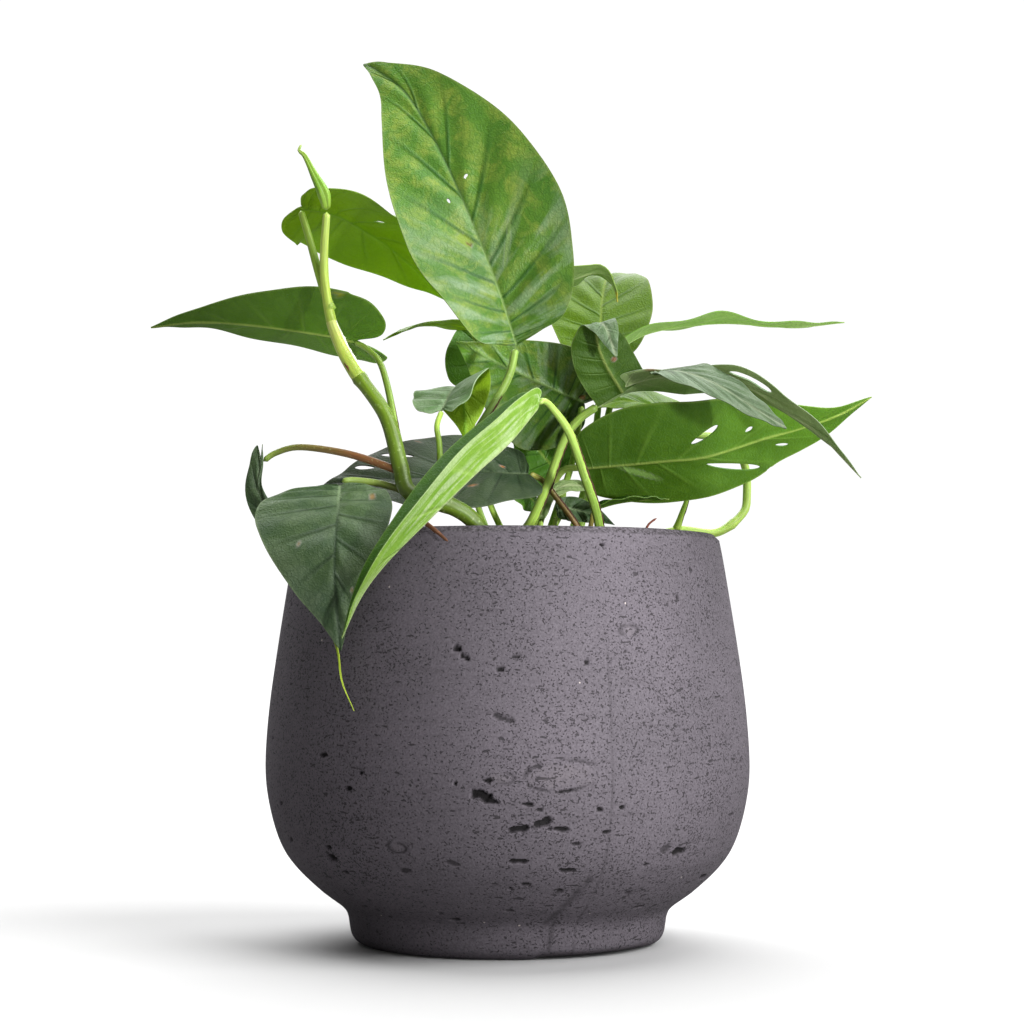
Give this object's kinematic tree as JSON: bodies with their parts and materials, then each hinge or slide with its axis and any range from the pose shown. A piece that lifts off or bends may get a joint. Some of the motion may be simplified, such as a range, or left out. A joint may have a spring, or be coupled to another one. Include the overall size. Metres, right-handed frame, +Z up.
{
  "type": "potted cebu blue pothos",
  "caption": "Young climbing aroid house plant: slim heart-shaped leaves, some holed or lobed, on long bare stalks in a round-bellied matt concrete pot of soil.",
  "frame": {"origin": "centre of the underside of the pot's foot, on the surface that it stands on", "axes": "+Z up along the pot's axis; -Y towards the front; the tall climbing stem stands on the -X side"},
  "size_m": [0.2553, 0.1727, 0.3095],
  "materials": {
    "concrete": "matte",
    "soil": "matte",
    "stem": "satin",
    "root": "matte",
    "blue_leaf": "satin",
    "green_leaf": "satin",
    "bright_leaf": "satin"
  },
  "bodies": {
    "root": {"pot": "concrete", "soil": "soil", "vine_left": "stem", "vine_middle": "stem", "vine_right": "stem", "aerial_root": "root", "rootlet_right": "root", "leaf_rolled": "bright_leaf", "leaf_tall_front": "green_leaf", "leaf_upper_left": "bright_leaf", "leaf_left": "green_leaf", "leaf_back_slim": "bright_leaf", "leaf_round_back": "bright_leaf", "leaf_tip_behind": "green_leaf", "leaf_far_right": "green_leaf", "leaf_lobed": "green_leaf", "leaf_right": "green_leaf", "leaf_folded": "bright_leaf", "leaf_hanging": "blue_leaf", "leaf_far_left": "blue_leaf", "leaf_middle_left": "blue_leaf", "leaf_small_curled": "green_leaf", "leaf_olive": "green_leaf", "leaf_centre": "bright_leaf", "leaf_under": "green_leaf", "leaf_behind_right": "bright_leaf", "leaf_low_left": "green_leaf", "leaf_low_pale": "bright_leaf", "leaf_low_right": "green_leaf", "leaf_low_slim": "green_leaf"}
  },
  "joints": []
}
